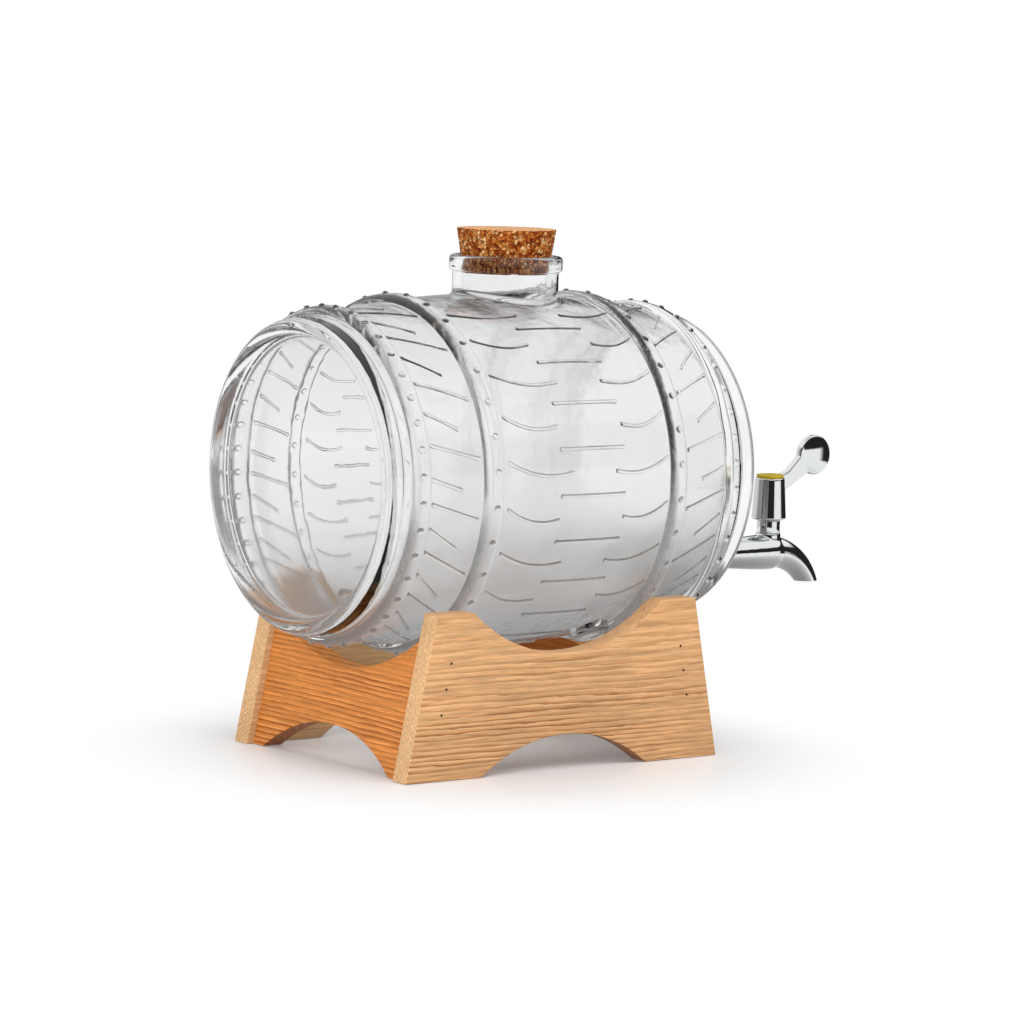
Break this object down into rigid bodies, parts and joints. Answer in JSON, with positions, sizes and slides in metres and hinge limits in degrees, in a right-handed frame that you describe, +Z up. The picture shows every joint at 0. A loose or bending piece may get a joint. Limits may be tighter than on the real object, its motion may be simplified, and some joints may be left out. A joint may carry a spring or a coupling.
{
  "type": "glass barrel dispenser",
  "caption": "Clear glass barrel drink dispenser with raised hoops, cork stopper and chromed quarter-turn tap, lying in a nailed wooden stand with arched boards.",
  "frame": {"origin": "on the table under the middle of the whole length, from the rear rim to the tip of the tap's lever", "axes": "+X along the barrel towards the tap, +Y across the barrel to its left, +Z up"},
  "size_m": [0.3316, 0.172, 0.2529],
  "materials": {
    "side_wood": "sanded pine boards with straight grain, clear matt finish",
    "end_wood": "sanded pine boards with strong grain, clear satin finish",
    "nail_steel": "bare steel brads set under the face",
    "clear_glass": "pressed clear soda-lime glass",
    "cork": "pressed granulated cork",
    "chrome": "bright chrome plate",
    "silicone": "translucent white silicone",
    "nut_plastic": "moulded white plastic",
    "plug_brass": "turned brass",
    "ring_rubber": "black moulded rubber",
    "screw_steel": "bright steel",
    "cap_plastic": "olive yellow moulded plastic"
  },
  "bodies": {
    "stand": {"side_board_left": "side_wood", "side_board_right": "side_wood", "end_board_rear": "end_wood", "end_board_front": "end_wood", "brad_nails": "nail_steel"},
    "barrel": {"glass_barrel": "clear_glass", "glass_rear_head": "clear_glass", "glass_front_head": "clear_glass", "glass_neck": "clear_glass", "tap_body": "chrome", "outer_washer": "silicone", "inner_washer": "silicone", "back_nut": "nut_plastic", "gland_nut": "chrome"},
    "cork": {"cork_stopper": "cork"},
    "handle": {"lever_handle": "chrome", "valve_plug": "plug_brass", "lower_o_ring": "ring_rubber", "upper_o_ring": "ring_rubber", "handle_screw": "screw_steel", "index_cap": "cap_plastic"}
  },
  "joints": [
    {"name": "barrel_lift", "type": "slide", "parent": "stand", "child": "barrel", "axis": [0, 0, 1], "range_m": [0, 0.12]},
    {"name": "cork_pull", "type": "slide", "parent": "barrel", "child": "cork", "axis": [0, 0, 1], "range_m": [0, 0.08]},
    {"name": "handle_turn", "type": "hinge", "parent": "barrel", "child": "handle", "pos_m": [0.12715, 0, 0.08762], "axis": [0, 0, 1], "range_deg": [-90, 90]}
  ]
}
